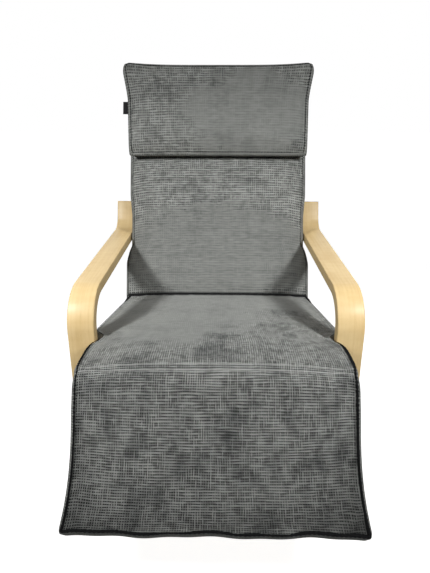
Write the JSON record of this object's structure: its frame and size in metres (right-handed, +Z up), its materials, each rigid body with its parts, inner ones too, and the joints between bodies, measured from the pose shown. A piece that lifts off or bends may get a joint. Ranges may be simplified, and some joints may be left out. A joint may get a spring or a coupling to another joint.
{
  "type": "reflexology chair",
  "caption": "High-back padded lounge chair on bentwood side frames, with a ratchet-hinged hanging leg rest and a flip-over head pillow.",
  "frame": {"origin": "middle of the chair's bounding box at floor level", "axes": "+Z up, -Y to the front (where the leg rest hangs), +X to the right as the picture shows the chair"},
  "size_m": [0.67, 1.1029, 1.0005],
  "materials": {
    "bentwood": "pale birch veneers, clear satin lacquer",
    "frame_wood": "pale birch, matt",
    "cushion_fabric": "coarse grey grid weave with dark seams",
    "webbing": "plain black webbing",
    "hinge_steel": "stamped steel, zinc plated",
    "fastener_steel": "bright zinc plated",
    "glide_felt": "dark felt"
  },
  "bodies": {
    "chair_frame": {"side_frame_left": "bentwood", "side_frame_right": "bentwood", "seat_back_rail_left": "frame_wood", "seat_back_rail_right": "frame_wood", "seat_front_bar": "frame_wood", "back_top_bar": "frame_wood", "front_stretcher": "frame_wood", "rear_stretcher": "frame_wood", "seat_slat_1": "frame_wood", "seat_slat_2": "frame_wood", "seat_slat_3": "frame_wood", "seat_slat_4": "frame_wood", "back_slat_1": "frame_wood", "back_slat_2": "frame_wood", "back_slat_3": "frame_wood", "back_slat_4": "frame_wood", "back_slat_5": "frame_wood", "back_slat_6": "frame_wood", "frame_bolts": "fastener_steel", "barrel_nuts": "fastener_steel", "frame_dowels": "frame_wood", "floor_glides": "glide_felt", "hinge_inner_plate_left": "hinge_steel", "hinge_inner_plate_right": "hinge_steel", "hinge_outer_plate_left": "hinge_steel", "hinge_outer_plate_right": "hinge_steel", "hinge_pivot_pins": "fastener_steel", "hinge_spacers": "hinge_steel", "hinge_seat_screws": "fastener_steel", "pawl_pins": "fastener_steel", "pawl_spring_left": "fastener_steel", "pawl_spring_right": "fastener_steel", "back_cushion": "cushion_fabric", "seat_cushion": "cushion_fabric", "knee_fold": "cushion_fabric", "pillow_flap": "webbing", "cushion_straps": "webbing"},
    "leg_rest": {"leg_ratchet_plate_left": "hinge_steel", "leg_ratchet_plate_right": "hinge_steel", "hinge_leg_screws": "fastener_steel", "leg_rail_left": "frame_wood", "leg_rail_right": "frame_wood", "leg_end_bar": "frame_wood", "leg_slat_1": "frame_wood", "leg_slat_2": "frame_wood", "leg_slat_3": "frame_wood", "leg_dowels": "frame_wood", "leg_cushion": "cushion_fabric"},
    "head_pillow": {"head_pillow": "cushion_fabric", "side_tab": "webbing"},
    "pawl_left": {"pawl_left": "hinge_steel"},
    "pawl_right": {"pawl_right": "hinge_steel"}
  },
  "joints": [
    {"name": "leg_rest_hinge", "type": "hinge", "parent": "chair_frame", "child": "leg_rest", "pos_m": [0, -0.34347, 0.34514], "axis": [-1, 0, 0], "range_deg": [0, 60], "deforming": ["knee_fold"]},
    {"name": "head_pillow_flap", "type": "hinge", "parent": "chair_frame", "child": "head_pillow", "pos_m": [0, 0.44524, 0.97737], "axis": [-1, 0, 0], "range_deg": [0, 120]},
    {"name": "pawl_left_lift", "type": "hinge", "parent": "chair_frame", "child": "pawl_left", "pos_m": [-0.2775, -0.31577, 0.35041], "axis": [1, 0, 0], "range_deg": [0, 12], "stiffness_Nm_per_rad": 0.02, "springref_deg": -17.19, "deforming": ["pawl_spring_left"]},
    {"name": "pawl_right_lift", "type": "hinge", "parent": "chair_frame", "child": "pawl_right", "pos_m": [0.2775, -0.31577, 0.35041], "axis": [1, 0, 0], "range_deg": [0, 12], "stiffness_Nm_per_rad": 0.02, "springref_deg": -17.19, "deforming": ["pawl_spring_right"]}
  ]
}
